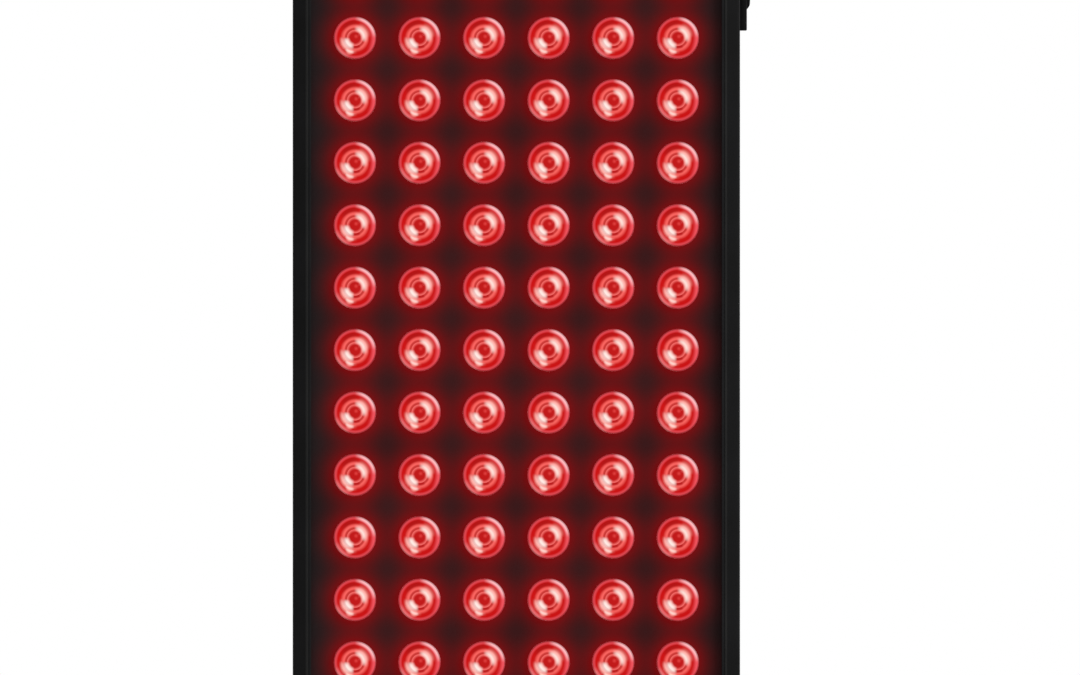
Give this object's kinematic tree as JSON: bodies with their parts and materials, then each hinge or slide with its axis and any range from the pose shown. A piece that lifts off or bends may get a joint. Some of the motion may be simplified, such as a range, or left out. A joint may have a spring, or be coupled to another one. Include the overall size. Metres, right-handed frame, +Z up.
{
  "type": "red light therapy panel",
  "caption": "Tall slim light therapy panel: rows of round red lenses in a dark face and black metal frame, with rear fans, a side rocker switch, mains inlet and hanging eyes.",
  "frame": {"origin": "on the floor under the middle of the panel, in the plane of the soles of its feet", "axes": "+Z up, -Y out of the lit face, +X to the right as seen from the front, towards the switch and inlet"},
  "size_m": [0.2151, 0.062, 0.4942],
  "materials": {
    "black_powder_coat": "black powder coat, fine satin texture",
    "charcoal_face": "satin charcoal coating",
    "lit_lens": "clear lens over a lit red LED",
    "bare_aluminium": "mill finish",
    "driver_case": "potted light grey case",
    "black_plastic": "black, half gloss",
    "fan_plastic": "black, matt",
    "rubber": "matt black",
    "brass": "bright",
    "steel": "zinc plated",
    "fuse_glass": "clear glass with metal ends",
    "brown_lead": "insulation",
    "blue_lead": "insulation",
    "green_lead": "insulation",
    "red_lead": "insulation"
  },
  "bodies": {
    "housing": {"front_panel": "charcoal_face", "left_rail": "black_powder_coat", "right_rail": "black_powder_coat", "top_rail": "black_powder_coat", "bottom_rail": "black_powder_coat", "back_cover": "black_powder_coat", "corner_key_top_left": "bare_aluminium", "corner_key_top_right": "bare_aluminium", "corner_key_bottom_left": "bare_aluminium", "corner_key_bottom_right": "bare_aluminium", "led_module_1": "lit_lens", "led_module_2": "lit_lens", "led_module_3": "lit_lens", "led_module_4": "lit_lens", "led_module_5": "lit_lens", "carrier_plate": "bare_aluminium", "upper_heat_sink": "bare_aluminium", "lower_heat_sink": "bare_aluminium", "left_driver": "driver_case", "right_driver": "driver_case", "upper_fan_frame": "fan_plastic", "lower_fan_frame": "fan_plastic", "switch_body": "black_plastic", "switch_upper_terminal": "brass", "switch_lower_terminal": "brass", "mains_inlet": "black_plastic", "inlet_live_pin": "brass", "inlet_neutral_pin": "brass", "inlet_earth_pin": "brass", "left_hanging_eye": "steel", "right_hanging_eye": "steel", "left_eye_nut": "steel", "right_eye_nut": "steel", "foot_front_left": "rubber", "foot_front_right": "rubber", "foot_rear_left": "rubber", "foot_rear_right": "rubber", "live_lead": "brown_lead", "switched_lead": "brown_lead", "neutral_lead": "blue_lead", "earth_lead": "green_lead", "left_led_lead": "red_lead", "right_led_lead": "red_lead", "upper_fan_lead": "red_lead", "lower_fan_lead": "red_lead"},
    "upper_fan": {"upper_fan_rotor": "fan_plastic"},
    "lower_fan": {"lower_fan_rotor": "fan_plastic"},
    "rocker": {"switch_rocker": "black_plastic"},
    "fuse_carrier": {"fuse_drawer": "black_plastic", "fuse": "fuse_glass"}
  },
  "joints": [
    {"name": "upper_fan_spin", "type": "hinge", "parent": "housing", "child": "upper_fan", "pos_m": [0, 0.02, 0.3809], "axis": [0, 1, 0], "continuous": true},
    {"name": "lower_fan_spin", "type": "hinge", "parent": "housing", "child": "lower_fan", "pos_m": [0, 0.02, 0.0977], "axis": [0, 1, 0], "continuous": true},
    {"name": "switch_rock", "type": "hinge", "parent": "housing", "child": "rocker", "pos_m": [0.10575, 0.00875, 0.4], "axis": [0, 1, 0], "range_deg": [-22, 0]},
    {"name": "fuse_drawer_slide", "type": "slide", "parent": "housing", "child": "fuse_carrier", "axis": [1, 0, 0], "range_m": [0, 0.014]}
  ]
}
